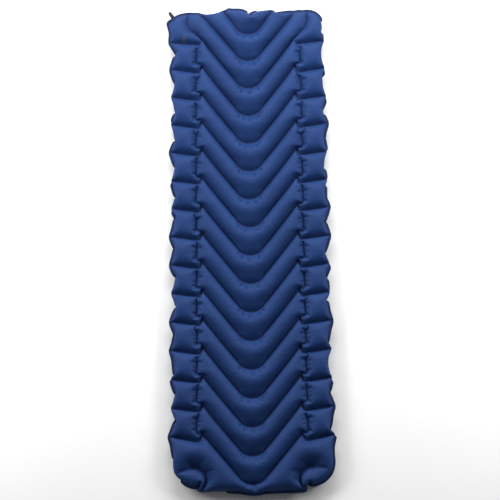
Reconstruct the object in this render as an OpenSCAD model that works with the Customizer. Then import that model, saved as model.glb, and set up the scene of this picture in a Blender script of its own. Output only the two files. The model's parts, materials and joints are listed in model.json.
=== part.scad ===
// Inflatable sleeping pad: two coated fabric sheets welded together in V shaped
// chambers between side bolsters, with a twist valve in the corner of the seam.
// +X is across the pad, +Y runs to the head end, +Z is up. The floor is z = 0.

/* [Overall size] */
// Width across both side bolsters
pad_w = 584; // [480:4:720]
// Length from the foot edge to the head edge
pad_l = 1830; // [1500:10:2200]
// Greatest thickness of the inflated pad
pad_t = 64; // [52:1:78]

/* [Weld pattern] */
// Number of V shaped weld lines
v_count = 17; // [13:1:19]
// Length of the pillow chamber between the head edge and the first weld
head_gap = 102; // [80:1:130]
// Length of the last chamber between the last weld and the foot edge
foot_gap = 48; // [36:1:70]
// Radius of the rounded point of each V
apex_r = 57; // [40:1:70]
// Slope of the V limbs, degrees
limb_angle = 54.8; // [45:0.2:58]
// Distance from the centre line to the end of a limb
limb_end = 165; // [145:1:172]
// Width of the kink between a limb and its bolster weld
kink_w = 17; // [12:1:24]
// Drop of the weld across the kink
kink_drop = 27; // [12:1:34]
// Rise of a bolster weld from its inner end to the edge
side_rise = 14; // [0:1:24]
// How much thinner the pad is along the limbs
limb_less = 6; // [0:1:20]
// How much thinner it is at the kinks, where the chambers meet the bolsters
kink_less = 16; // [2:1:30]

/* [Edge] */
// Width of the welded seam around the edge
seam_w = 8; // [5:0.5:12]
// Depth of the notch that inflation pulls into each bolster's edge
notch_d = 13; // [0:1:14]
// Radius of the head corners
head_r = 64; // [50:1:90]
// Radius of the foot corners
foot_r = 120; // [90:2:130]
// Curve of the head edge from its middle to its corners
head_sag = 20; // [6:1:34]
// Curve of the foot edge from its middle to its corners
foot_sag = 27; // [10:1:40]
// Length over which the sheets round down to the head seam
round_l = 46; // [30:1:60]

/* [Sheet] */
// Thickness of a sheet, measured upright
sheet_t = 1; // [0.8:0.1:1.6]

/* [Valve] */
// Place of the valve around the head corner, degrees from the head direction
seat_angle = 45; // [35:1:55]
// Direction the valve points, degrees from the head direction
aim_angle = 32; // [28:1:50]
// Outer radius of the barrel where the nozzle rides
journal_r = 4.5; // [4.2:0.1:4.8]
// Radial clearance between the nozzle and the barrel
run_fit = 0.06; // [0.04:0.01:0.09]
// Wall of the barrel
barrel_wall = 1.1; // [0.9:0.05:1.3]
// Height of the barrel's mouth beyond the edge of the pad
barrel_top = 22; // [21.8:0.1:22.6]
// Depth of the barrel inside the pad
barrel_depth = 17; // [12:1:18]
// Radius of the barrel's root in the base
root_r = 6; // [5.6:0.1:6.6]
// Wall of the soft base around the barrel's root
base_wall = 2.2; // [1.6:0.1:3]
// Half width of the base's welding wings
wing_half = 26; // [20:1:32]
// Depth of the welding wings along the valve
wing_depth = 14; // [9:1:18]
// Outer radius of the nozzle's grip
grip_r = 7; // [6.8:0.1:7.6]
// Radius of the mouthpiece
spigot_r = 5.6; // [5.5:0.1:6.2]
// Length of the nozzle
nozzle_l = 22; // [21.8:0.1:22.6]
// Turn of the nozzle from shut to open, degrees
turn_deg = 150; // [120:5:160]
// Travel of the nozzle from shut to open
lift = 5; // [4.4:0.1:5.2]
// Radius of the two lugs that guide the nozzle
lug_r = 0.9; // [0.7:0.05:1]
// Radius of the mouth that the core closes
mouth_r = 2.9; // [2.6:0.1:3.2]
// Number of flutes around the grip
flutes = 12; // [8:1:16]

/* [Mark] */
// Width of the printed mark
mark_w = 11; // [8:1:16]
// Distance from the centre line to the middle of the mark
mark_x = 234; // [222:1:236]

/* [Hidden] */
$fn = 64;
half_w = pad_w / 2;
half_l = pad_l / 2;
mid_z = pad_t / 2;
crest = mid_z - sheet_t;                  // inside height of a full chamber
limb_crest = crest - limb_less / 2;
kink_crest = crest - kink_less / 2;
pitch = (pad_l - head_gap - foot_gap) / (v_count - 1);
first_apex = half_l - head_gap;
last_apex = first_apex - pitch * (v_count - 1);
apex_half = apex_r * sin(limb_angle);     // where the rounded point meets the limb
apex_rise = apex_r * (1 - cos(limb_angle));
limb_rise = apex_rise + (limb_end - apex_half) * tan(limb_angle);
weld_in = limb_end + kink_w;              // inner end of a bolster weld
bolster_l = half_w - seam_w - weld_in;

// ---- the outline -------------------------------------------------------------
head_cx = half_w - head_r;
head_cy = half_l - head_sag - head_r;
foot_cx = half_w - foot_r;
foot_cy = -half_l + foot_sag + foot_r;

function arc_y(x, cx, r) = sqrt(max(0, r * r - pow(x - cx, 2)));
function head_edge(x) = x < head_cx
    ? half_l - head_sag * pow(x / head_cx, 2)
    : head_cy + arc_y(x, head_cx, head_r);
function foot_edge(x) = x < foot_cx
    ? -half_l + foot_sag * pow(x / foot_cx, 2)
    : foot_cy - arc_y(x, foot_cx, foot_r);

// ---- the weld lines ----------------------------------------------------------
function rise(x) =
    x < apex_half ? apex_r - sqrt(apex_r * apex_r - x * x)
    : x < limb_end ? apex_rise + (x - apex_half) * tan(limb_angle)
    : x < weld_in ? limb_rise - kink_drop * (x - limb_end) / kink_w
    : limb_rise - kink_drop + side_rise * (x - weld_in) / (half_w - weld_in);

// ---- columns of the sheet, from the centre line to the edge --------------------
apex_cols = 3;
limb_cols = 4;
crest_from = 0.27;                        // level part of a bolster, as shares of it
crest_to = 0.62;
shoulder = 0.83;
half_cols = concat(
    [for (i = [0:apex_cols - 1]) apex_half * i / apex_cols],
    [for (i = [0:limb_cols]) apex_half + (limb_end - apex_half) * i / limb_cols],
    [weld_in],
    [for (s = [crest_from, crest_to, shoulder, 1]) weld_in + bolster_l * s],
    [half_w]);
n_half = len(half_cols);
cols = concat([for (i = [n_half - 1:-1:1]) -half_cols[i]], half_cols);
n_cols = len(cols);

// ---- rows of the sheet, from the foot edge to the head edge --------------------
// Each is [chamber coordinate, share of the crest height, is it a notch row].
flank = 0.15;                             // shares of a chamber where a row lies
level = 0.35;
flank_h = 0.71;                           // height share at the flank rows
steps = [[0, 0, 0], [flank, flank_h, 0], [level, 1, 1], [1 - level, 1, 1],
    [1 - flank, flank_h, 0]];
foot_rows = [[0, 0, 0], [0, 0, 0], [flank, flank_h, 0], [level, 1, 0],
    [1 - level, 1, 0], [1 - flank, flank_h, 0]];
mid_rows = [for (k = [v_count - 1:-1:1]) for (s = steps) [k - s[0], s[1], s[2]]];
head_unit = head_gap / pitch;
head_rows = concat(
    [for (s = steps) [-s[0] * head_unit, s[0] > level ? 1 : s[1], 0]],
    [[(seam_w - head_gap) / pitch, 0, 0], [-head_unit, 0, 0]]);
rows = concat(mid_rows, head_rows);
n_foot = len(foot_rows);
n_rows = n_foot + len(rows);
row_gap = 2;                              // least distance between rows at the head

// Height of a full chamber over the mid plane at distance x from the centre line.
function crest_at(x) =
    x < apex_half / 2 ? crest
    : x < apex_half ? crest + (limb_crest - crest) * (2 * x / apex_half - 1)
    : x < limb_end ? limb_crest
    : x < weld_in + 1 ? kink_crest
    : x < weld_in + bolster_l * crest_to + 1 ? crest
    : crest * arc_y(x, weld_in + bolster_l * crest_to, bolster_l * (1 - crest_to))
        / (bolster_l * (1 - crest_to));

function in_seam(x) = x > half_w - seam_w - 0.01;

function foot_point(x, j) =
    let (a = abs(x), lo = foot_edge(a), hi = last_apex + rise(a), f = foot_rows[j],
        run = hi - lo - seam_w)
    [x, j == 0 ? lo : lo + seam_w + run * f[0],
        in_seam(a) ? 0 : min(crest_at(a), run * 0.42) * f[1]];

function chamber_point(x, j) =
    let (a = abs(x), r = rows[j - n_foot], top = head_edge(a),
        y = min(first_apex - pitch * r[0] + rise(a), top - row_gap * (n_rows - 1 - j)),
        gap = top - y - seam_w,
        fall = gap <= 0 ? 0 : arc_y(min(gap / round_l, 1), 1, 1),
        straight = y < head_cy && y > foot_cy,
        cut = in_seam(a) && r[2] == 1 && straight ? notch_d : 0)
    [sign(x) * (a - cut), y, in_seam(a) ? 0 : crest_at(a) * r[1] * fall];

function sheet_point(i, j) =
    j < n_foot ? foot_point(cols[i], j) : chamber_point(cols[i], j);

under = [for (j = [0:n_rows - 1]) for (i = [0:n_cols - 1]) sheet_point(i, j)];
over = [for (p = under) p + [0, 0, sheet_t]];
n_pts = n_cols * n_rows;
function at(i, j) = j * n_cols + i;

over_faces = [for (j = [0:n_rows - 2]) for (i = [0:n_cols - 2])
    let (a = n_pts + at(i, j), b = n_pts + at(i + 1, j),
        c = n_pts + at(i + 1, j + 1), d = n_pts + at(i, j + 1))
    each (cols[i] < 0 ? [[a, c, b], [a, d, c]] : [[a, d, b], [b, d, c]])];
under_faces = [for (f = over_faces) [f[0] - n_pts, f[2] - n_pts, f[1] - n_pts]];
rim = concat(
    [for (i = [0:n_cols - 2]) at(i, 0)],
    [for (j = [0:n_rows - 2]) at(n_cols - 1, j)],
    [for (i = [n_cols - 1:-1:1]) at(i, n_rows - 1)],
    [for (j = [n_rows - 1:-1:1]) at(0, j)]);
rim_faces = [for (k = [0:len(rim) - 1])
    let (a = rim[k], b = rim[(k + 1) % len(rim)])
    each [[a, a + n_pts, b], [b, a + n_pts, b + n_pts]]];

// One quilted sheet, lying with its welds on the plane z = 0, cut to fit the valve's
// base, and held to the pad's width and length.
module sheet() {
    resize([pad_w, pad_l, 0]) difference() {
        polyhedron(concat(under, over), concat(over_faces, under_faces, rim_faces));
        translate([0, 0, -mid_z]) at_valve() base_outside(seam_cut);
    }
}

module top_sheet() {
    color("#1f3a6b") translate([0, 0, mid_z]) sheet();
}

module bottom_sheet() {
    color("#1f3a6b") translate([0, 0, mid_z]) mirror([0, 0, 1]) sheet();
}

// ---- printed mark: lies on the outside of the first bolster chamber ------------
mark_t = 0.15;
mark_chamber = 1;
mark_rows = [[0.7, 1 - (0.7 - (1 - level)) / (level - flank) * (1 - flank_h)],
    [1 - flank, flank_h], [0.96, flank_h * (1 - 0.96) / flank]];
mark_pts = [for (m = mark_rows) for (s = [-1, 1])
    let (x = mark_x + s * mark_w / 2)
    [-x, first_apex - pitch * (mark_chamber + m[0]) + rise(x),
        mid_z + sheet_t + crest * m[1]]];
mark_n = len(mark_pts);
mark_all = concat(mark_pts, [for (p = mark_pts) p + [0, 0, mark_t]]);

module printed_mark() {
    color("#8a7a55") polyhedron(mark_all, [
        [0, 1, 3], [0, 3, 2], [2, 3, 5], [2, 5, 4],
        [9, 7, 6], [8, 9, 6], [11, 9, 8], [10, 11, 8],
        [1, 0, 6], [1, 6, 7], [3, 1, 7], [3, 7, 9], [5, 3, 9], [5, 9, 11],
        [4, 5, 11], [4, 11, 10], [2, 4, 10], [2, 10, 8], [0, 2, 8], [0, 8, 6]]);
}

// ---- valve -------------------------------------------------------------------
// Its own frame has z = 0 at the edge of the pad and +z along the nozzle.
valve_x = -head_cx - head_r * sin(seat_angle);
valve_y = head_cy + head_r * cos(seat_angle);

module at_valve() {
    translate([valve_x, valve_y, mid_z]) rotate([0, 0, aim_angle]) rotate([-90, 0, 0])
        children();
}

// A ring or rod between two heights, with its outer edges chamfered by c.
module ring(r_out, r_in, z0, z1, c = 0) {
    rotate_extrude() polygon([[r_in, z0], [r_out - c, z0], [r_out, z0 + c],
        [r_out, z1 - c], [r_out - c, z1], [r_in, z1]]);
}

base_r = root_r + base_wall;
base_top = 2;
base_depth = 18;
wing_top = 1.2;
seam_cut = 12;                            // how far the sheets' cut runs out past the wings
wing_r = (wing_half * wing_half + base_r * base_r) / (2 * base_r);

// The outside of the base: a tube with two thin wings that the sheets weld to. The
// wings are longer by extra where they cut the sheets.
module base_outside(extra = 0) {
    translate([0, 0, -base_depth]) cylinder(r = base_r, h = base_depth + base_top);
    translate([0, 0, wing_top - wing_depth]) intersection() {
        translate([0, wing_r - base_r, 0]) cylinder(r = wing_r, h = wing_depth + extra);
        translate([0, base_r - wing_r, 0]) cylinder(r = wing_r, h = wing_depth + extra);
    }
}

module valve_base() {
    color("#1b1c1f") at_valve() difference() {
        base_outside();
        translate([0, 0, -base_depth - 1]) cylinder(r = root_r, h = base_depth + 4);
    }
}

bore_r = journal_r - barrel_wall;
collar_r = base_r - 0.4;
collar_t = 1.6;
nozzle_z = base_top + collar_t + 1.4;     // foot of the nozzle when shut
lug_z = nozzle_z + 7;
lug_out = journal_r + 1;

module valve_barrel() {
    color("#26272b") at_valve() difference() {
        union() {
            ring(root_r, 0, -barrel_depth, base_top, 0.6);
            ring(collar_r, 0, base_top, base_top + collar_t, 0.3);
            ring(journal_r, 0, base_top, barrel_top, 0.3);
            for (a = [0, 180]) rotate([0, 0, a]) translate([0, 0, lug_z])
                rotate([0, 90, 0]) cylinder(r = lug_r, h = lug_out, $fn = 32);
        }
        translate([0, 0, -barrel_depth - 1])
            cylinder(r = bore_r, h = barrel_depth + barrel_top + 2);
    }
}

nozzle_top = nozzle_z + nozzle_l;
mouth_l = 3;
stem_r = 1.5;
head_core_r = mouth_r - 0.3;
gland_in = 1.9;                           // floor of the groove for the plug's seal
gland_z = nozzle_top - mouth_l + 0.9;
gland_l = 1.3;
hub_l = 5;
spoke_w = 1.1;

module valve_core() {
    color("#33353a") at_valve() {
        difference() {
            ring(bore_r, 0, barrel_top - hub_l, barrel_top, 0);
            translate([0, 0, barrel_top - hub_l - 1])
                cylinder(r = bore_r - 0.6, h = hub_l + 2);
        }
        for (a = [90, 210, 330]) rotate([0, 0, a])
            translate([0, -spoke_w / 2, barrel_top - 3])
                cube([bore_r - 0.3, spoke_w, 2.4]);
        ring(stem_r, 0, barrel_top - 4, nozzle_top - mouth_l, 0.2);
        difference() {
            ring(head_core_r, 0, nozzle_top - mouth_l, nozzle_top - 0.3, 0.3);
            difference() {
                translate([0, 0, gland_z]) cylinder(r = mouth_r, h = gland_l);
                translate([0, 0, gland_z - 1]) cylinder(r = gland_in, h = gland_l + 2);
            }
        }
    }
}

module plug_seal() {
    color("#0d0d0e") at_valve() ring(mouth_r - 0.05, gland_in, gland_z + 0.1,
        gland_z + gland_l - 0.1, 0.2);
}

nozzle_bore = journal_r + run_fit;
seal_z = nozzle_z + 9.5;
seal_gland_l = 2;
seal_gland_r = nozzle_bore + 1.25;
track_room = lug_r + 0.45;                // half height of the lug's level track
track_in = nozzle_bore - 0.3;
track_out = lug_out + 0.4;
track_steps = 6;
track_step = turn_deg / track_steps;
track_end = 16;                           // room beyond the lug's last places, degrees
grip_l = 14;
flute_r = 0.9;

// The stepped groove inside the nozzle that a lug follows as the nozzle turns.
module track() {
    for (i = [0:track_steps - 1]) {
        before = i == 0 ? track_end : 0;
        after = i == track_steps - 1 ? track_end : 0;
        rotate([0, 0, -track_step * (i + 1) - after])
            rotate_extrude(angle = track_step + before + after)
            translate([track_in, lug_z - lift * (i + 1) / track_steps - track_room])
            square([track_out - track_in, lift / track_steps + 2 * track_room]);
    }
}

module nozzle() {
    color("#17181a") at_valve() difference() {
        union() {
            ring(grip_r, 0, nozzle_z, nozzle_z + grip_l, 0.6);
            ring(spigot_r, 0, nozzle_z + grip_l - 1, nozzle_top, 0.8);
        }
        translate([0, 0, nozzle_z - 1])
            cylinder(r = nozzle_bore, h = nozzle_l - mouth_l);
        translate([0, 0, nozzle_top - mouth_l - 2]) cylinder(r = mouth_r, h = mouth_l + 4);
        translate([0, 0, seal_z]) cylinder(r = seal_gland_r, h = seal_gland_l);
        for (side = [0, 180]) rotate([0, 0, side]) track();
        for (i = [0:flutes - 1]) rotate([0, 0, 360 * (i + 0.5) / flutes])
            translate([grip_r + 0.35, 0, nozzle_z + 2]) cylinder(r = flute_r, h = grip_l);
    }
}

module nozzle_seal() {
    color("#0d0d0e") at_valve() ring(seal_gland_r - 0.05, journal_r + 0.05,
        seal_z + 0.2, seal_z + seal_gland_l - 0.2, 0.25);
}

top_sheet();
bottom_sheet();
printed_mark();
valve_base();
valve_barrel();
valve_core();
plug_seal();
nozzle();
nozzle_seal();
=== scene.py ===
"""Looks of an inflatable sleeping pad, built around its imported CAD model.

The pad's two sheets are cut flat, welded along the same lines as the CAD model's,
and blown up here by a small cloth solver, so that the tubes, bolsters, notches and
puckers come from the fabric itself. All sizes are in metres.
"""

import json
import math

import bpy
import numpy as np
from mathutils import Matrix, Vector
from mathutils.bvhtree import BVHTree
from mathutils.geometry import delaunay_2d_cdt


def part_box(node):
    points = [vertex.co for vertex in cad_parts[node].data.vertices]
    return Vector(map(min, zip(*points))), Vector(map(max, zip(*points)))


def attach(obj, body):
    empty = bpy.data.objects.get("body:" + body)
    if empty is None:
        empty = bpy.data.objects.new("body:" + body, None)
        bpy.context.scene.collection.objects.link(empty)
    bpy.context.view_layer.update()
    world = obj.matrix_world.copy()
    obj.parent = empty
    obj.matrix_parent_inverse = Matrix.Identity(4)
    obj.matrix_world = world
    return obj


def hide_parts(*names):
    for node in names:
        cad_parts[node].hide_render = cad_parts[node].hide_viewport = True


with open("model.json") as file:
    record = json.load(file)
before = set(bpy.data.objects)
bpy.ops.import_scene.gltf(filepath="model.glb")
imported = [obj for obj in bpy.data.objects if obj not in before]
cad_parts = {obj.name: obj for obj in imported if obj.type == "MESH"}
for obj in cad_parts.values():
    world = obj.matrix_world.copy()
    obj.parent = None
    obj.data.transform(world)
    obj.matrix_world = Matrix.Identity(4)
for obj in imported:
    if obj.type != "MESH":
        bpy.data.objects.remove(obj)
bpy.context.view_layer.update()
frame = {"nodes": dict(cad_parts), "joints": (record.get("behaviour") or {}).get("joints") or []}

# ---- overall size, from the frame ------------------------------------------------------
lower_lo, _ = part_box("bottom_sheet")
upper_lo, upper_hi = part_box("top_sheet")
HALF_W = (upper_hi[0] - upper_lo[0]) / 2
HALF_L = (upper_hi[1] - upper_lo[1]) / 2
FLOOR_Z = lower_lo[2]
MID_Z = (upper_hi[2] + lower_lo[2]) / 2
HALF_T = MID_Z - FLOOR_Z

# ---- weld pattern, the same as the CAD model's -----------------------------------------
V_COUNT = 17
HEAD_GAP = 0.102                # edge of the head to the first weld's apex
FOOT_GAP = 0.048                # last weld's apex to the edge of the foot
PITCH = (2 * HALF_L - HEAD_GAP - FOOT_GAP) / (V_COUNT - 1)
FIRST_APEX = HALF_L - HEAD_GAP
APEX_R = 0.057                  # radius of a weld's round apex
LIMB_ANGLE = math.radians(54.8)
LIMB_END = 0.165                # distance of a limb's end from the centre line
KINK_W = 0.017                  # the step between a limb and its bolster weld
KINK_DROP = 0.027
SIDE_RISE = 0.014               # a bolster weld's rise to the pad's edge
SEAM_W = 0.008                  # perimeter weld
WELD_W = 0.0045                 # every other weld
HEAD_R = 0.064
FOOT_R = 0.120
HEAD_SAG = 0.020
FOOT_SAG = 0.027
LONG_WELDS_FROM = 3             # first weld that runs out to both edges
CORNER_WELD = 2                 # the weld that turns up into the head's corners
STAR_X = 0.187                  # short upright welds between tubes and bolsters
STAR_HALF = 0.016
STAR_DROP = 0.004
STAR_REACH = 0.028              # how far the puckers run from an upright weld
PUCKER_DROP = 0.020             # middle of the puckered band under an apex
PUCKER_DEPTH = 0.018
PUCKER_REACH = 0.062
PUCKER_FADE = 0.012             # sideways stretch over which that band ends
STAR_MORE = 1.6                 # the upright welds pucker more than the apexes
EDGE_STEP = 0.004               # distance between points of a smooth outline
CORNER_TURN = [(0.203, 0.038), (0.214, 0.062)]      # x, and height over the limb's end
CORNER_END_X = 0.220
FOOT_WELD = [(0.205, 0.112), (0.180, 0.110), (0.160, 0.095), (0.153, 0.070), (0.158, 0)]

APEX_HALF = APEX_R * math.sin(LIMB_ANGLE)
APEX_RISE = APEX_R * (1 - math.cos(LIMB_ANGLE))
LIMB_RISE = APEX_RISE + (LIMB_END - APEX_HALF) * math.tan(LIMB_ANGLE)
WELD_IN = LIMB_END + KINK_W
HEAD_CX = HALF_W - HEAD_R
HEAD_CY = HALF_L - HEAD_SAG - HEAD_R
FOOT_CX = HALF_W - FOOT_R
FOOT_CY = -HALF_L + FOOT_SAG + FOOT_R

# ---- flat cut and inflation ------------------------------------------------------------
SHRINK = 0.858                  # inflated length over flat length
FLAT_ANGLE = math.asin(SHRINK * math.sin(LIMB_ANGLE))
# Each level: distance between points, rounds, and how well a spring resists being pushed.
LEVELS = [(0.026, 1200, 0.02), (0.013, 500, 0.1), (0.0075, 450, 0.2)]
PUFF = 1.3                      # how rounded the first guess of a tube is
STRETCH_K = 4.0                 # stiffness of the cloth against the air pressure
BEND_K = 0.05                   # stiffness of the cloth against bending
WELD_BEND_K = 0.3               # stiffness of a weld against bending
WELD_PUSH_K = 0.1               # how well a weld resists being pushed together
CENTRE_K = 0.02                 # pull that keeps the welds near the middle height
DAMPING = 0.01
SPRING_MASS = 0.55              # point masses that keep the steps stable
BEND_MASS = 2
BEAM_MASS = 1.4
SHORTEST = 0.35                 # shortest spring that counts, share of the mean length
FLOOR_GAP = 0.0006              # how far the cloth may sink below the CAD box
LIMB_BLEND = 0.02               # stretch over which a limb's first guess fades in
LIMB_FLATTER = 0.08             # how much lower the first guess is along the limbs
FINE = 0.6                      # finer cloth grid where it puckers, share of the step
EASE = 0.14                     # spare cloth in the puckers, share of its length


def rise(x):
    """Height of a weld over its apex at the distance x from the centre line."""
    x = np.abs(x)
    round_part = APEX_R - np.sqrt(APEX_R ** 2 - np.minimum(x, APEX_HALF) ** 2)
    limb = np.clip(x - APEX_HALF, 0, LIMB_END - APEX_HALF) * math.tan(LIMB_ANGLE)
    kink = -KINK_DROP * np.clip((x - LIMB_END) / KINK_W, 0, 1)
    side = SIDE_RISE * np.clip((x - WELD_IN) / (HALF_W - WELD_IN), 0, 1)
    return round_part + limb + kink + side


def spaced(line, step, closed=False):
    """The same line with points a step apart."""
    line = np.vstack([line, line[:1]]) if closed else np.array(line, float)
    gaps = np.linalg.norm(np.diff(line, axis=0), axis=1)
    run = np.concatenate([[0], np.cumsum(gaps)])
    count = max(1, int(round(run[-1] / step)))
    t = np.linspace(0, run[-1], count + 1)
    even = np.stack([np.interp(t, run, line[:, 0]), np.interp(t, run, line[:, 1])], 1)
    return even[:-1] if closed else even


def arc(centre_x, centre_y, radius, start, end, count):
    """Points on a circle from one angle to another, in degrees."""
    a = np.radians(np.linspace(start, end, count))
    return np.stack([centre_x + radius * np.cos(a), centre_y + radius * np.sin(a)], 1)


def inward(line, distance, closed):
    """The line moved to its left by a distance."""
    if closed:
        along = np.roll(line, -2, 0) - np.roll(line, 2, 0)
    else:
        along = np.gradient(line, axis=0)
    along /= np.linalg.norm(along, axis=1)[:, None]
    return line + np.stack([-along[:, 1], along[:, 0]], 1) * distance


def outline(inset, step):
    """The pad's edge, anticlockwise, moved in by inset."""
    x = np.linspace(-FOOT_CX, FOOT_CX, 60)
    foot = np.stack([x, -HALF_L + FOOT_SAG * (x / FOOT_CX) ** 2], 1)
    x = np.linspace(HEAD_CX, -HEAD_CX, 60)
    head = np.stack([x, HALF_L - HEAD_SAG * (x / HEAD_CX) ** 2], 1)
    edge = np.vstack([
        foot,
        arc(FOOT_CX, FOOT_CY, FOOT_R, -85, 0, 30),
        arc(HEAD_CX, HEAD_CY, HEAD_R, 0, 85, 20),
        head,
        arc(-HEAD_CX, HEAD_CY, HEAD_R, 95, 180, 20),
        arc(-FOOT_CX, FOOT_CY, FOOT_R, 180, 265, 30)])
    edge = spaced(edge, EDGE_STEP, True)
    return spaced(inward(edge, inset, True), step, True)


def inside(edge, points):
    """Which points lie inside a closed edge."""
    x, y = points[:, 0], points[:, 1]
    hit = np.zeros(len(points), bool)
    for (x1, y1), (x2, y2) in zip(edge, np.roll(edge, -1, 0)):
        if y1 != y2:
            hit ^= ((y1 > y) != (y2 > y)) & (x < (x2 - x1) * (y - y1) / (y2 - y1) + x1)
    return hit


def runs(line, edge):
    """The stretches of a line that lie inside an edge."""
    keep = inside(edge, line)
    found, current = [], []
    for point, is_in in zip(line, keep):
        if is_in:
            current.append(point)
            continue
        if len(current) > 1:
            found.append(np.array(current))
        current = []
    if len(current) > 1:
        found.append(np.array(current))
    return found


def half_weld(k):
    """One side of weld k, from its apex to its end."""
    apex = FIRST_APEX - PITCH * k
    x = [*np.linspace(0, APEX_HALF, 12), LIMB_END]
    if k >= LONG_WELDS_FROM:
        x += [WELD_IN, HALF_W]
    points = [(a, apex + float(rise(a))) for a in x]
    if k == CORNER_WELD:
        top = apex + LIMB_RISE
        points += [(turn_x, top + up) for turn_x, up in CORNER_TURN]
        points.append((CORNER_END_X, HALF_L))
    return np.array(points)


def weld_lines(step):
    """Every weld but the perimeter's, as lines of points."""
    room = outline(SEAM_W + step * 0.45, step)
    lines = []

    def put(points):
        lines.extend(runs(spaced(np.array(points), step), room))

    for k in range(V_COUNT):
        half = half_weld(k)
        put(np.vstack([half[::-1] * [-1, 1], half[1:]]))
    for side in (-1, 1):
        for k in range(CORNER_WELD, V_COUNT):
            apex = FIRST_APEX - PITCH * k
            inner = apex + float(rise(WELD_IN))
            if k == CORNER_WELD:
                outer = apex + float(rise(HALF_W))
                put([(side * WELD_IN, inner), (side * HALF_W, outer)])
            if k < V_COUNT - 1:
                middle = inner - PITCH / 2 + STAR_DROP
                put([(side * STAR_X, middle - STAR_HALF), (side * STAR_X, middle + STAR_HALF)])
        put([(side * x, y - HALF_L) for x, y in FOOT_WELD])
    return lines


def nearest(points, reference):
    """Distance from each point to the nearest reference point."""
    out = np.empty(len(points))
    block = 1500
    for i in range(0, len(points), block):
        gap = points[i:i + block, None] - reference[None]
        out[i:i + block] = np.sqrt((gap ** 2).sum(2).min(1))
    return out


def pucker(points):
    """How much the cloth bunches at points of the plan, 0 to 1: in a band under each
    weld's apex and round each short upright weld."""
    x = np.abs(points[:, 0])
    y = points[:, 1]
    amount = np.zeros(len(points))
    for k in range(V_COUNT):
        apex = FIRST_APEX - PITCH * k
        under = apex + rise(points[:, 0]) - y
        band = np.clip(1 - np.abs(under - PUCKER_DROP) / PUCKER_DEPTH, 0, 1)
        band *= k < V_COUNT - 1
        band *= np.clip((PUCKER_REACH - x) / PUCKER_FADE, 0, 1)
        amount = np.maximum(amount, band)
        if CORNER_WELD <= k < V_COUNT - 1:
            middle = apex + float(rise(WELD_IN)) - PITCH / 2 + STAR_DROP
            off = np.hypot(x - STAR_X, np.maximum(np.abs(y - middle) - STAR_HALF, 0))
            amount = np.maximum(amount, STAR_MORE * np.clip(1 - off / STAR_REACH, 0, 1))
    return amount


def grid(step, seed):
    """Points of a slightly uneven triangular grid over the pad's box."""
    rng = np.random.RandomState(seed)
    row_h = step * SHRINK * math.sqrt(3) / 2
    rows = []
    for j in range(int(2 * HALF_L / row_h)):
        x = np.arange(-HALF_W + (j % 2) * step / 2, HALF_W, step)
        rows.append(np.stack([x, np.full(len(x), -HALF_L + j * row_h)], 1))
    rows = np.vstack(rows)
    return rows + rng.uniform(-0.1, 0.1, rows.shape) * step


def pattern(step, weld_w):
    """Triangles over the pad's outline with edges along every weld. Returns points,
    triangles, which points are welded, weld points, and the beams along the welds."""
    points, edges, beams = [], [], []

    def put(line, closed=False):
        first = len(points)
        points.extend(map(tuple, line))
        count = len(line)
        edges.extend((first + i, first + i + 1) for i in range(count - 1))
        if closed:
            edges.append((first + count - 1, first))
        else:
            beams.extend((first + i - 1, first + i, first + i + 1) for i in range(1, count - 1))
        return first

    inner = outline(SEAM_W, step)
    put(outline(0, step), True)
    ring = put(inner, True)
    centre_lines = weld_lines(step * 0.95)
    for line in centre_lines:
        sides = [line] if weld_w == 0 else [inward(line, s * weld_w / 2, False) for s in (-1, 1)]
        for side in sides:
            first = put(side)
            for end in (0, len(side) - 1):
                gap = np.linalg.norm(inner - side[end], axis=1)
                if gap.min() < step * 1.6:
                    edges.append((first + end, ring + int(gap.argmin())))
        if weld_w:
            edges.append((first, first - len(line)))
            edges.append((first + len(line) - 1, first - 1))
    fixed = np.array(points)

    dense = np.vstack([spaced(line, 0.002) for line in centre_lines])
    lattice = grid(step, 3)
    if weld_w:
        fine = grid(step * FINE, 5)
        lattice = np.vstack([lattice[pucker(lattice) == 0], fine[pucker(fine) > 0]])
    lattice = lattice[inside(outline(SEAM_W + step * 0.4, step), lattice)]
    room = nearest(lattice, fixed) > step * (0.35 if weld_w else 0.5)
    if weld_w:
        room &= nearest(lattice, dense) > weld_w / 2 + step * 0.3
    points += list(map(tuple, lattice[room]))

    made = delaunay_2d_cdt([Vector(p) for p in points], edges, [], 0, 1e-7)
    flat = np.array([tuple(p) for p in made[0]])
    tris = np.array([f for f in made[2] if len(f) == 3])
    source = {}
    for new, old in enumerate(made[3]):
        source.update((o, new) for o in old)
    beams = np.array([[source[i] for i in b] for b in beams])
    tris = tris[inside(outline(0, step), flat[tris].mean(1))]
    a, b, c = flat[tris[:, 0]], flat[tris[:, 1]], flat[tris[:, 2]]
    area = (b - a)[:, 0] * (c - a)[:, 1] - (b - a)[:, 1] * (c - a)[:, 0]
    tris[area < 0] = tris[area < 0][:, ::-1]
    tris = tris[np.abs(area) > 1e-8]
    used = np.unique(tris)
    number = -np.ones(len(flat), int)
    number[used] = np.arange(len(used))
    beams = number[beams]
    beams = beams[(beams >= 0).all(1)]
    flat, tris = flat[used], number[tris]
    welded = nearest(flat, fixed) < 1e-6
    if weld_w:
        welded |= nearest(flat, dense) < weld_w / 2
    return flat, tris, welded, dense, beams


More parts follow.
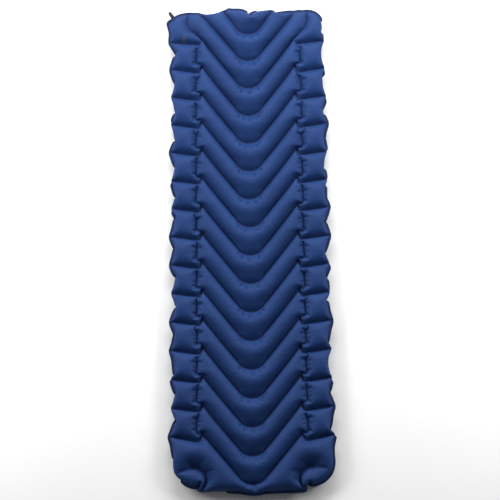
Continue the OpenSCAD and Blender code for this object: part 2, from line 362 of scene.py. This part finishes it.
def flat_place(points):
    """Where points of the inflated plan lie on the flat cut."""
    x = np.abs(points[:, 0])
    limb = np.clip(x - APEX_HALF, 0, LIMB_END - APEX_HALF) / math.cos(LIMB_ANGLE)
    out = np.minimum(x, APEX_HALF) * 1.02 + limb * math.cos(FLAT_ANGLE)
    out += np.maximum(x - LIMB_END, 0)
    up = APEX_R - np.sqrt(APEX_R ** 2 - np.minimum(x, APEX_HALF) ** 2)
    up += limb * math.sin(FLAT_ANGLE)
    up -= KINK_DROP * np.clip((x - LIMB_END) / KINK_W, 0, 1)
    up += SIDE_RISE * np.clip((x - WELD_IN) / (HALF_W - WELD_IN), 0, 1)
    y = -(FIRST_APEX - points[:, 1] + rise(x)) / SHRINK + up
    return np.stack([np.sign(points[:, 0]) * out, y], 1)


def first_guess(points, dense):
    """Half the pad's thickness before the cloth is let go."""
    x = np.abs(points[:, 0])
    in_limb = np.clip((x - APEX_HALF) / LIMB_BLEND, 0, 1)
    in_limb *= np.clip((LIMB_END - x) / LIMB_BLEND, 0, 1)
    reach = PITCH / 2 * (1 - in_limb) + PITCH / 2 * math.cos(LIMB_ANGLE) * in_limb
    height = HALF_T * (1 - LIMB_FLATTER * in_limb)
    t = np.clip(nearest(points, dense) / reach, 0, 1)
    return height * np.sqrt(np.clip(1 - (1 - t) ** 2, 0, 1)) ** PUFF


def sides_of(tris):
    """All sides of the triangles, so that a shared one comes twice."""
    pairs = np.vstack([tris[:, [0, 1]], tris[:, [1, 2]], tris[:, [2, 0]]])
    pairs.sort(1)
    return pairs


def relax(place, cut, ease, tris, pressed, welded, beams, bent, rounds, push_k):
    """Lets a pressurised skin find its shape. Springs along the edges keep the cloth's
    cut lengths, a weak plate stiffness keeps it smooth, and welds are small beams."""
    n = len(place)
    pairs = np.unique(sides_of(tris), axis=0)
    i, j = pairs[:, 0].copy(), pairs[:, 1].copy()
    length = np.linalg.norm(cut[i] - cut[j], axis=1) * (1 + (ease[i] + ease[j]) / 2)
    mean = length.mean()
    stiff = STRETCH_K * mean
    spring = stiff / np.maximum(length, mean * SHORTEST)
    both = np.concatenate([i, j])
    degree = np.bincount(both, minlength=n)
    load = np.bincount(both, np.concatenate([spring, spring]), n)
    bend = BEND_K * stiff / mean
    beam = WELD_BEND_K * stiff / mean
    ends = np.bincount(beams[:, [0, 2]].ravel(), minlength=n)
    middles = np.bincount(beams[:, 1], minlength=n)
    mass = load * SPRING_MASS + bend * BEND_MASS + (ends + 2 * middles) * beam * BEAM_MASS
    per_mass = 1 / mass
    free = (~welded) / degree
    push = np.where(welded[i] & welded[j], WELD_PUSH_K, push_k)
    a, b, c = (tris[pressed][:, k].copy() for k in range(3))
    corners = np.concatenate([a, b, c])
    ba, bb, bc = (beams[:, k].copy() for k in range(3))
    bent = bent.T.copy()
    centre_pull = stiff * CENTRE_K / mean
    x = np.ascontiguousarray(place.T)
    v = np.zeros_like(x)
    energy = 0
    floor = -HALF_T - FLOOR_GAP
    for step in range(rounds):
        d = x[:, j] - x[:, i]
        now = np.sqrt((d * d).sum(0)) + 1e-12
        strain = (now - length) * spring
        pull = d * (np.where(strain > 0, strain, push * strain) / now)
        corner = x[:, a]
        u = x[:, b] - corner
        w = x[:, c] - corner
        air = np.stack([
            u[1] * w[2] - u[2] * w[1],
            u[2] * w[0] - u[0] * w[2],
            u[0] * w[1] - u[1] * w[0]]) / 6
        curl = (x[:, ba] - 2 * x[:, bb] + x[:, bc] - bent) * beam
        force = np.empty_like(x)
        for k in range(3):
            lap = (np.bincount(i, d[k], n) - np.bincount(j, d[k], n)) * free
            g = pull[k] - (lap[j] - lap[i]) * bend / 18
            force[k] = np.bincount(i, g, n) - np.bincount(j, g, n)
            force[k] += np.bincount(corners, np.concatenate([air[k], air[k], air[k]]), n)
            force[k] += 2 * np.bincount(bb, curl[k], n)
            force[k] -= np.bincount(ba, curl[k], n) + np.bincount(bc, curl[k], n)
        force[2, welded] -= centre_pull * x[2, welded]
        v += force * per_mass
        v *= 1 - DAMPING
        moving = float((v * v * mass).sum())
        # the motion stops each time its energy has peaked, so that it dies out
        if moving < energy * 0.999 and step > 5:
            v[:] = 0
            moving = 0
        energy = moving
        x += v
        low = x[2] < floor
        x[2, low] = floor
        v[2, low] = 0
    return x.T.copy()


def carried(plan, old_plan, old_tris, old_top, old_bottom):
    """The last level's shape at the points of a finer plan."""
    tree = BVHTree.FromPolygons([(a, b, 0) for a, b in old_plan.tolist()], old_tris.tolist())
    face = np.empty(len(plan), int)
    foot = np.empty((len(plan), 2))
    for q, (x, y) in enumerate(plan.tolist()):
        spot, _, index, _ = tree.find_nearest((x, y, 0))
        face[q] = index
        foot[q] = spot[:2]
    t = old_tris[face]
    a, b, c = old_plan[t[:, 0]], old_plan[t[:, 1]], old_plan[t[:, 2]]

    def cross(p, q):
        return p[:, 0] * q[:, 1] - p[:, 1] * q[:, 0]

    whole = cross(b - a, c - a)
    wb = (cross(foot - a, c - a) / whole)[:, None]
    wc = (cross(b - a, foot - a) / whole)[:, None]
    out = []
    for layer in (old_top, old_bottom):
        moved = (1 - wb - wc) * layer[t[:, 0]] + wb * layer[t[:, 1]] + wc * layer[t[:, 2]]
        moved[:, :2] += plan - foot
        out.append(moved)
    return out


def inflate():
    """Cuts, welds and blows up the pad. Returns the plan, its triangles, the flat cut,
    which points are welded, and both layers' points."""
    last = None
    levels = LEVELS
    for step, rounds, push_k in levels:
        weld_w = WELD_W if step < 2 * WELD_W else 0
        plan, tris, welded, dense, beams = pattern(step, weld_w)
        n = len(plan)
        free = ~welded
        lower = np.arange(n)
        lower[free] = n + np.arange(free.sum())
        single = welded[tris].all(1)
        faces = np.vstack([tris, lower[tris][~single][:, ::-1]])
        pressed = np.concatenate([~single, np.ones((~single).sum(), bool)])
        cut = flat_place(plan)
        if last is None:
            z = first_guess(plan, np.vstack([dense, outline(SEAM_W, EDGE_STEP)]))
            top = np.column_stack([plan, z])
            bottom = np.column_stack([plan, -z])
        else:
            top, bottom = carried(plan, *last)
        middle = (top + bottom) / 2
        top[welded] = middle[welded]
        place = np.vstack([top, bottom[free]])
        bent = plan[beams[:, 0]] - 2 * plan[beams[:, 1]] + plan[beams[:, 2]]
        bent = np.column_stack([bent, np.zeros(len(bent))])
        all_cut = np.vstack([cut, cut[free]])
        all_welded = np.concatenate([welded, np.zeros(free.sum(), bool)])
        ease = np.where(welded, 0, pucker(plan) * EASE) if weld_w else np.zeros(n)
        ease = np.concatenate([ease, ease[free]])
        place = relax(place, all_cut, ease, faces, pressed, all_welded, beams, bent,
                      rounds, push_k)
        last = plan, tris, place[:n], place[lower]
        size = np.ptp(place, 0)
        print("level", step, "points", len(place), "size", size.round(4), flush=True)
    return plan, tris, cut, welded, last[2], last[3]


# ---- fitting the cloth to the CAD model ------------------------------------------------
TURN = next(j for j in frame["joints"] if j["name"] == "nozzle_turn")
SEAT = np.array(TURN["pos_m"][:2])              # where the valve's axis crosses the edge
OUT = np.array(TURN["axis"][:2])                # along the nozzle, away from the pad
BASE_LO, BASE_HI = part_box("valve_base")
BASE_R = (BASE_HI[2] - BASE_LO[2]) / 2
WING_HALF = 0.026
WING_DEPTH = 0.0128
WING_R = (WING_HALF ** 2 + BASE_R ** 2) / (2 * BASE_R)
CLOTH_GAP = 0.0004              # room between the cloth and the base, and between sheets
TURN_NEAR = 0.030               # cloth this near the valve follows it fully
TURN_FAR = 0.130                # and beyond this it stays as it settled
EDGE_HALF = 0.050               # the edge looked at round the seat, across and inward
EDGE_DEEP = 0.045
COVER_HALF = 0.044              # the cloth drawn out over the wings, across and inward
COVER_DEEP = 0.10
COVER_SOFT = 0.014              # stretches over which the drawing out fades
COVER_FADE = 0.055
BASE_FADE = 0.02                # how far past its depth the base still lifts the cloth
BASE_DEEP = 0.04
WING_SPARE = 0.004
PROUD = 1.028                   # the scalloped edge stands a little out of the CAD box
TAPER = 0.013                   # and the foot is a little wider than the head


def to_box(top, bottom):
    """Scales the settled pad to the CAD model's width, length and thickness."""
    both = np.vstack([top, bottom])
    lo, hi = both.min(0), both.max(0)
    lo[2] = -HALF_T - FLOOR_GAP
    want_lo = np.array([-HALF_W, -HALF_L, FLOOR_Z])
    want_hi = np.array([HALF_W, HALF_L, FLOOR_Z + 2 * HALF_T])
    size = (want_hi - want_lo) / (hi - lo)
    layers = [(layer - lo) * size + want_lo for layer in (top, bottom)]
    for layer in layers:
        layer[:, 0] *= PROUD - TAPER * layer[:, 1] / HALF_L
    return layers


def eased(share):
    """A share from 0 to 1 with a soft start and end."""
    return share * share * (3 - 2 * share)


def to_valve(plan, welded, layers):
    """Turns the corner's edge back to where the valve's base sits in it."""
    away = np.linalg.norm(plan - SEAT, axis=1)
    near = (away < TURN_NEAR) & welded
    a, b = layers[0][near, :2], plan[near]
    u, _, vt = np.linalg.svd((a - a.mean(0)).T @ (b - b.mean(0)))
    turn = vt.T @ u.T
    share = np.clip((TURN_FAR - away) / (TURN_FAR - TURN_NEAR), 0, 1)
    share = eased(share)[:, None]
    middle = a.mean(0)
    for layer in layers:
        moved = (layer[:, :2] - middle) @ turn.T + b.mean(0)
        layer[:, :2] += share * (moved - layer[:, :2])
        level = np.where(welded, MID_Z - layer[:, 2], 0)
        layer[:, 2] += share[:, 0] * level


def rim_of(tris):
    """Points on the cloth's outer edge, where a side has one triangle only."""
    single, count = np.unique(sides_of(tris), axis=0, return_counts=True)
    return np.unique(single[count == 1])


def seat_frame(layer):
    """Distances of points across the valve's axis, and inward along it."""
    rel = layer[:, :2] - SEAT
    return rel @ np.array([OUT[1], -OUT[0]]), -(rel @ OUT)


def cover_wings(layer, rim):
    """Draws the cloth's edge out until it covers the wings of the valve's base."""
    across, deep = seat_frame(layer)
    edge = rim[(np.abs(across[rim]) < EDGE_HALF) & (deep[rim] < EDGE_DEEP)]
    edge = edge[np.argsort(across[edge])]
    short = np.interp(across, across[edge], deep[edge])
    window = np.clip((COVER_HALF - np.abs(across)) / COVER_SOFT, 0, 1)
    fade = np.clip(1 - (deep - short) / COVER_FADE, 0, 1)
    near = (deep < COVER_DEEP) & (np.abs(across) < COVER_HALF)
    push = np.maximum(short + CLOTH_GAP, 0) * eased(window) * fade * near
    layer[:, :2] += push[:, None] * OUT


def over_base(layer, side):
    """Spreads one sheet over the valve's base, a flat tube with two thin wings."""
    across, deep = seat_frame(layer)
    lens = np.sqrt(np.clip(WING_R ** 2 - across ** 2, 0, None)) - (WING_R - BASE_R)
    lens *= np.clip(1 - (deep - WING_DEPTH) / BASE_FADE, 0, 1)
    need = np.maximum(lens, 0) + CLOTH_GAP
    lift = np.maximum(need - side * (layer[:, 2] - MID_Z), 0)
    lift[(np.abs(across) > WING_HALF + WING_SPARE) | (deep > BASE_DEEP)] = 0
    layer[:, 2] += side * lift


# ---- materials -------------------------------------------------------------------------
def node(tree, kind, inputs=None, **settings):
    """A shader node with its inputs set, or linked when given a socket."""
    made = tree.nodes.new(kind)
    for key, value in settings.items():
        setattr(made, key, value)
    for key, value in (inputs or {}).items():
        if isinstance(value, bpy.types.NodeSocket):
            tree.links.new(value, made.inputs[key])
        else:
            made.inputs[key].default_value = value
    return made


def blank(name):
    """A new material with a principled shader and nothing else."""
    made = bpy.data.materials.new(name)
    made.use_nodes = True
    tree = made.node_tree
    tree.nodes.clear()
    out = tree.nodes.new("ShaderNodeOutputMaterial")
    shader = tree.nodes.new("ShaderNodeBsdfPrincipled")
    tree.links.new(shader.outputs[0], out.inputs[0])
    return made, tree, shader


def maths(tree, operation, a, b):
    return node(tree, "ShaderNodeMath", {0: a, 1: b}, operation=operation).outputs[0]


def noise(tree, place, scale, detail=2.0, rough=0.5):
    made = node(tree, "ShaderNodeTexNoise", {"Vector": place, "Scale": scale,
                                             "Detail": detail, "Roughness": rough})
    return made.outputs[0]


def ranged(tree, value, low, high, from_low=0.0, from_high=1.0):
    made = node(tree, "ShaderNodeMapRange", {0: value, 1: from_low, 2: from_high,
                                             3: low, 4: high})
    return made.outputs[0]


def mixed(tree, share, a, b, blend="MIX"):
    made = node(tree, "ShaderNodeMix", data_type="RGBA", blend_type=blend)
    for key, value in ((0, share), (6, a), (7, b)):
        if isinstance(value, bpy.types.NodeSocket):
            tree.links.new(value, made.inputs[key])
        else:
            made.inputs[key].default_value = value
    return made.outputs[2]


def bumped(tree, height, strength, distance, under=None):
    inputs = {"Height": height, "Strength": strength, "Distance": distance}
    if under is not None:
        inputs["Normal"] = under
    return node(tree, "ShaderNodeBump", inputs).outputs[0]


def woven(tree, place, thread):
    """Height of a plain weave with the given distance between threads."""
    wave_scale = 2 * math.pi / 20 / (2 * thread)
    heights = []
    for direction in ("X", "Y"):
        made = node(tree, "ShaderNodeTexWave", {"Vector": place, "Scale": wave_scale,
                    "Distortion": 0.6, "Detail": 1.0}, bands_direction=direction)
        heights.append(made.outputs[1])
    return maths(tree, "MULTIPLY", heights[0], heights[1])


def sheet_fabric():
    """Navy woven polyester, coated inside and smoother where it is welded; along the welds it is
    painted near black, the seam's own slightly darker coating plus painted shade of the weld
    grooves.
    """
    made, tree, shader = blank("navy_polyester")
    place = node(tree, "ShaderNodeAttribute", attribute_name="cut").outputs["Vector"]
    weld = node(tree, "ShaderNodeAttribute", attribute_name="weld").outputs["Fac"]
    cloudy = noise(tree, place, 7.0, 3.0)
    slubs = noise(tree, place, 420.0, 2.0, 0.7)
    colour = mixed(tree, ranged(tree, cloudy, 0, 1, 0.3, 0.7),
                   (0.0072, 0.0265, 0.108, 1), (0.0105, 0.036, 0.138, 1))
    colour = mixed(tree, ranged(tree, slubs, 0, 0.35, 0.35, 0.75), colour,
                   (0.016, 0.051, 0.168, 1))
    # painted shade: along each weld and in a soft band beside it, the colour goes to a near
    # black navy; a little of this is the seam's own darker coating, most of it is painted shade
    # of the weld groove
    colour = mixed(tree, ranged(tree, weld, 0, 0.75, 0.45, 1.0), colour,
                   (0.0020, 0.008, 0.042, 1))
    tree.links.new(colour, shader.inputs["Base Color"])
    rough = ranged(tree, slubs, 0.50, 0.66)
    rough = maths(tree, "SUBTRACT", rough, maths(tree, "MULTIPLY", weld, 0.04))
    tree.links.new(rough, shader.inputs["Roughness"])
    creases = noise(tree, place, 55.0, 4.0, 0.55)
    soft = bumped(tree, creases, 0.25, 0.004)
    fine = bumped(tree, noise(tree, place, 190.0, 3.0, 0.6), 0.18, 0.0012, soft)
    tree.links.new(bumped(tree, woven(tree, place, 0.00045), 0.5, 0.0002, fine),
                   shader.inputs["Normal"])
    shader.inputs["Sheen Weight"].default_value = 0.02
    shader.inputs["Sheen Roughness"].default_value = 0.4
    shader.inputs["Sheen Tint"].default_value = (0.55, 0.68, 1.0, 1)
    shader.inputs["Specular IOR Level"].default_value = 0.13
    return made


def moulded(name, dark, light, rough, grain, depth):
    """Moulded plastic or rubber: fine grain, handling marks and a little dust."""
    made, tree, shader = blank(name)
    place = node(tree, "ShaderNodeTexCoord").outputs["Object"]
    grains = noise(tree, place, grain, 3.0, 0.6)
    marks = noise(tree, place, 160.0, 4.0, 0.65)
    colour = mixed(tree, ranged(tree, marks, 0, 1, 0.35, 0.75), dark, light)
    tree.links.new(colour, shader.inputs["Base Color"])
    tree.links.new(ranged(tree, marks, rough - 0.08, rough + 0.1), shader.inputs["Roughness"])
    tree.links.new(bumped(tree, grains, 0.4, depth), shader.inputs["Normal"])
    shader.inputs["Specular IOR Level"].default_value = 0.3
    return made


def mark_print():
    """A worn heat transfer print, in a dull brown."""
    made, tree, shader = blank("transfer_print")
    place = node(tree, "ShaderNodeTexCoord").outputs["Object"]
    worn = noise(tree, place, 900.0, 3.0, 0.7)
    colour = mixed(tree, ranged(tree, worn, 0, 1, 0.45, 0.7),
                   (0.075, 0.060, 0.040, 1), (0.040, 0.050, 0.075, 1))
    tree.links.new(colour, shader.inputs["Base Color"])
    tree.links.new(ranged(tree, worn, 0.5, 0.75), shader.inputs["Roughness"])
    tree.links.new(bumped(tree, worn, 0.3, 0.0001), shader.inputs["Normal"])
    return made


def floor_paint():
    """Matt, nearly white paint with slight clouds."""
    made, tree, shader = blank("pale_floor")
    place = node(tree, "ShaderNodeTexCoord").outputs["Object"]
    shade = ranged(tree, noise(tree, place, 3.0), 0.88, 0.91)
    tree.links.new(shade, shader.inputs["Base Color"])
    shader.inputs["Roughness"].default_value = 0.9
    return made


# ---- pieces ----------------------------------------------------------------------------
def mesh_piece(name, points, faces, material):
    mesh = bpy.data.meshes.new(name)
    mesh.from_pydata(points.tolist(), [], faces.tolist())
    mesh.update()
    mesh.polygons.foreach_set("use_smooth", np.ones(len(mesh.polygons), bool))
    mesh.materials.append(material)
    piece = bpy.data.objects.new(name, mesh)
    bpy.context.scene.collection.objects.link(piece)
    return piece


def sheet_piece(name, layer, tris, cut, welded, side, material):
    """One sheet as an open surface. side is 1 for the upper sheet and -1 for the lower."""
    points = layer.copy()
    points[welded, 2] += side * CLOTH_GAP / 2
    cover_wings(points, rim_of(tris))
    over_base(points, side)
    faces = tris if side > 0 else tris[:, ::-1]
    piece = mesh_piece(name, points, faces, material)
    mesh = piece.data
    flat = mesh.attributes.new("cut", "FLOAT_VECTOR", "POINT")
    flat.data.foreach_set("vector", np.column_stack([cut, np.zeros(len(cut))]).ravel())
    # the welded share, which the fabric also uses for the painted shade along the welds
    weld = mesh.attributes.new("weld", "FLOAT", "POINT")
    weld.data.foreach_set("value", welded.astype(float))
    smooth = piece.modifiers.new("smooth", "SUBSURF")
    smooth.levels = smooth.render_levels = 1
    return piece


def ring_points(half_w, half_l, count, power=3.0):
    """A rounded oblong outline."""
    a = np.arange(count) * 2 * math.pi / count
    x = half_w * np.sign(np.cos(a)) * np.abs(np.cos(a)) ** (2 / power)
    y = half_l * np.sign(np.sin(a)) * np.abs(np.sin(a)) ** (2 / power)
    return np.stack([x, y], 1)


def print_piece(cloth, material):
    """A plain oblong ring with a bar in it, lying on the cloth."""
    lo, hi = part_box("printed_mark")
    centre = np.array([(lo[0] + hi[0]) / 2, (lo[1] + hi[1]) / 2])
    half_w, half_l = (hi[0] - lo[0]) / 2, (hi[1] - lo[1]) / 2
    line_w = 0.0016
    raised = 0.0003
    count = 48
    around = [ring_points(half_w - inset, half_l - inset, count)
              for inset in (0, line_w / 2, line_w)]
    bar_x = np.linspace(-line_w * 0.7, line_w * 0.7, 3)
    bar_y = np.linspace(-half_l * 0.5, half_l * 0.5, 9)
    bar = np.array([(x, y) for y in bar_y for x in bar_x])
    plan = np.vstack([*around, bar]) + centre
    faces = []
    for r in range(2):
        for i in range(count):
            j = (i + 1) % count
            inner, outer = (r + 1) * count, r * count
            faces.append([outer + i, outer + j, inner + j, inner + i])
    first = 3 * count
    for row in range(len(bar_y) - 1):
        for col in range(2):
            a = first + row * 3 + col
            faces.append([a, a + 1, a + 4, a + 3])
    tree = BVHTree.FromObject(cloth, bpy.context.evaluated_depsgraph_get())
    points = []
    for x, y in plan:
        spot, normal, _, _ = tree.ray_cast(Vector((x, y, 1)), Vector((0, 0, -1)))
        points.append(spot + normal * raised)
    points = np.array([tuple(p) for p in points])
    return mesh_piece("plain_print", points, np.array(faces), material)


def build_pad():
    """Both sheets and the print on the upper one."""
    plan, tris, cut, welded, top, bottom = inflate()
    layers = to_box(top, bottom)
    to_valve(plan, welded, layers)
    fabric = sheet_fabric()
    for name, side, layer, cad_node in (("upper_sheet_cloth", 1, layers[0], "top_sheet"),
                                        ("lower_sheet_cloth", -1, layers[1], "bottom_sheet")):
        piece = sheet_piece(name, layer, tris, cut, welded, side, fabric)
        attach(piece, "pad")
        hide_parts(cad_node)
        if side > 0:
            mark = print_piece(piece, mark_print())
            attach(mark, "pad")
            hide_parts("printed_mark")


def dress_valve():
    """Materials of the valve's CAD pieces."""
    black = (0.005, 0.005, 0.006, 1)
    looks = {
        "valve_base": moulded("soft_polyurethane", black,
                              (0.011, 0.011, 0.013, 1), 0.6, 900, 0.0002),
        "valve_barrel": moulded("barrel_moulding", (0.009, 0.009, 0.010, 1),
                                (0.016, 0.016, 0.018, 1), 0.45, 1400, 0.0001),
        "valve_core": moulded("core_moulding", (0.03, 0.032, 0.035, 1),
                              (0.05, 0.052, 0.056, 1), 0.35, 1400, 0.0001),
        "nozzle": moulded("nozzle_moulding", black,
                          (0.014, 0.014, 0.016, 1), 0.5, 1100, 0.00015),
        "plug_seal": moulded("seal_rubber", (0.006, 0.006, 0.006, 1),
                             black, 0.6, 1600, 0.0001),
    }
    looks["nozzle_seal"] = looks["plug_seal"]
    for name, material in looks.items():
        slots = frame["nodes"][name].material_slots
        for slot in slots:
            slot.material = material


# ---- floor, light and camera -----------------------------------------------------------
def make_floor():
    half = 6.0
    corners = np.array([(-half, -half), (half, -half), (half, half), (-half, half)])
    points = np.column_stack([corners, np.full(4, FLOOR_Z - 0.001)])
    floor = mesh_piece("studio_floor", points, np.array([[0, 1, 2, 3]]), floor_paint())


def soft_light(name, place, target, width, height, power):
    data = bpy.data.lights.new(name, "AREA")
    data.shape = "RECTANGLE"
    data.size, data.size_y = width, height
    data.energy = power
    made = bpy.data.objects.new(name, data)
    made.location = place
    made.rotation_euler = (Vector(target) - Vector(place)).to_track_quat("-Z", "Y").to_euler()
    bpy.context.scene.collection.objects.link(made)


def light_scene():
    bpy.context.scene.view_settings.view_transform = "Standard"
    world = bpy.data.worlds.new("studio")
    bpy.context.scene.world = world
    world.use_nodes = True
    world.node_tree.nodes["Background"].inputs[0].default_value = (1, 1, 1, 1)
    world.node_tree.nodes["Background"].inputs[1].default_value = 0.14
    soft_light("left_box", (-2.0, 0.9, 1.35), (0, 0.1, 0), 2.6, 0.8, 68)
    soft_light("right_box", (2.0, 0.9, 1.35), (0, 0.1, 0), 2.6, 0.8, 60)
    soft_light("head_box", (0, 2.6, 1.6), (0, 0.2, 0), 2.2, 0.8, 88)


CAMERA_DISTANCE = 12.0
CAMERA_TILT = math.radians(14.5)
CAMERA_ROLL = math.radians(-0.68)
VIEW_WIDTH = 1.813              # width of what is seen at the pad's middle
AIM = Vector((0.0, -0.011, MID_Z))


def make_camera():
    data = bpy.data.cameras.new("photo_camera")
    data.sensor_width = 36
    data.lens = data.sensor_width * CAMERA_DISTANCE / VIEW_WIDTH
    data.clip_end = 50
    made = bpy.data.objects.new("photo_camera", data)
    back = Vector((0, -math.sin(CAMERA_TILT), math.cos(CAMERA_TILT)))
    made.location = AIM + back * CAMERA_DISTANCE
    turn = (-back).to_track_quat("-Z", "Y").to_matrix().to_4x4()
    made.rotation_euler = (turn @ Matrix.Rotation(CAMERA_ROLL, 4, "Z")).to_euler()
    bpy.context.scene.collection.objects.link(made)
    bpy.context.scene.camera = made


make_camera()
light_scene()
make_floor()
build_pad()
dress_valve()
